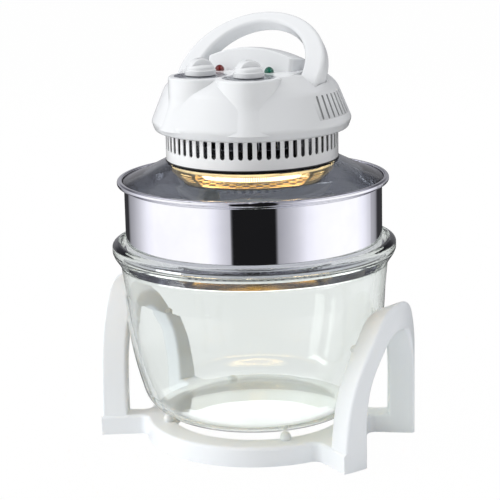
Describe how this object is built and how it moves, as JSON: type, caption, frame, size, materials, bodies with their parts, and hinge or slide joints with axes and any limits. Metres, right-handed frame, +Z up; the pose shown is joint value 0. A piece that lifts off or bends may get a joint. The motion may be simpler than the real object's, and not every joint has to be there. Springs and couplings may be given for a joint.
{
  "type": "countertop halogen oven",
  "caption": "Glass bowl in an arched stand with a steel extender ring and a lift-off lid that holds the lamp, fan, timer, thermostat and folding handle.",
  "frame": {"origin": "on the table, under the axis of the bowl", "axes": "+Z up, -Y is the front with the two knobs, +X is the right-hand arch"},
  "size_m": [0.368, 0.326, 0.487],
  "materials": {
    "white_plastic": "moulded, glossy",
    "pad_rubber": "moulded silicone",
    "bowl_glass": "pressed borosilicate, clear with a faint green edge",
    "smoked_glass": "pressed and tempered, lightly smoked",
    "polished_steel": "mirror polished stainless sheet",
    "gasket_rubber": "moulded silicone",
    "dial_plate": "satin, printed scale",
    "red_lens": "moulded, translucent",
    "green_lens": "moulded, translucent",
    "lamp_steel": "pressed, bright",
    "zinc_steel": "zinc plated",
    "lamp_glass": "quartz tube",
    "ceramic": "fired, unglazed",
    "motor_iron": "stacked laminations",
    "copper": "wound and drawn",
    "fan_aluminium": "pressed",
    "black_plastic": "moulded",
    "natural_nylon": "moulded"
  },
  "bodies": {
    "stand": {"stand": "white_plastic", "ring_pads": "pad_rubber", "side_pads": "pad_rubber", "feet": "pad_rubber"},
    "bowl": {"glass_bowl": "bowl_glass"},
    "extender": {"extender_ring": "polished_steel"},
    "head": {"head_cover": "white_plastic", "vent_ring": "white_plastic", "lid_glass": "smoked_glass", "head_gasket": "gasket_rubber", "timer_dial_plate": "dial_plate", "thermostat_dial_plate": "dial_plate", "power_lens": "red_lens", "heating_lens": "green_lens", "lamp_shroud": "lamp_steel", "lamp_guard": "lamp_steel", "heater_pan": "lamp_steel", "shroud_rivets": "lamp_steel", "heat_shield": "zinc_steel", "motor_bracket": "zinc_steel", "motor_screws": "zinc_steel", "shield_screws": "zinc_steel", "cover_screws": "zinc_steel", "pan_screws": "zinc_steel", "pan_spacers": "zinc_steel", "panel_nuts": "zinc_steel", "thermostat_unit": "zinc_steel", "halogen_lamp": "lamp_glass", "indicator_bulbs": "lamp_glass", "lamp_sockets": "ceramic", "insulation_pad": "ceramic", "lamp_gasket": "ceramic", "motor": "motor_iron", "motor_coil": "copper", "thermostat_rod": "copper", "cord_gland": "black_plastic", "terminal_block": "black_plastic", "timer_unit": "black_plastic", "safety_switch": "black_plastic"},
    "handle": {"handle": "white_plastic", "handle_pins": "zinc_steel", "switch_cam": "natural_nylon"},
    "plunger": {"switch_plunger": "natural_nylon"},
    "timer_dial": {"timer_knob": "white_plastic", "timer_shaft": "zinc_steel"},
    "thermostat_dial": {"thermostat_knob": "white_plastic", "thermostat_shaft": "zinc_steel"},
    "fan": {"fan_shaft": "zinc_steel", "hot_air_fan": "fan_aluminium", "cooling_fan": "fan_aluminium", "fan_nut": "zinc_steel"}
  },
  "joints": [
    {"name": "bowl_lift", "type": "slide", "parent": "stand", "child": "bowl", "axis": [0, 0, 1], "range_m": [0, 0.25]},
    {"name": "extender_lift", "type": "slide", "parent": "bowl", "child": "extender", "axis": [0, 0, 1], "range_m": [0, 0.12]},
    {"name": "lid_lift", "type": "slide", "parent": "extender", "child": "head", "axis": [0, 0, 1], "range_m": [0, 0.2]},
    {"name": "handle_hinge", "type": "hinge", "parent": "head", "child": "handle", "pos_m": [0, -0.01, 0.41], "axis": [1, 0, 0], "range_deg": [0, 50]},
    {"name": "plunger_slide", "type": "slide", "parent": "head", "child": "plunger", "axis": [0, 0, 1], "range_m": [0, 0.0026]},
    {"name": "timer_turn", "type": "hinge", "parent": "head", "child": "timer_dial", "pos_m": [-0.0304, -0.0605, 0.43], "axis": [0, 0, -1], "range_deg": [0, 300]},
    {"name": "thermostat_turn", "type": "hinge", "parent": "head", "child": "thermostat_dial", "pos_m": [0.0304, -0.0605, 0.43], "axis": [0, 0, -1], "range_deg": [0, 280]},
    {"name": "fan_spin", "type": "hinge", "parent": "head", "child": "fan", "pos_m": [0, 0, 0.35], "axis": [0, 0, 1], "continuous": true}
  ],
  "couplings": [
    {"joint": "plunger_slide", "follows": "handle_hinge", "m_per_rad": 0.0028089}
  ]
}
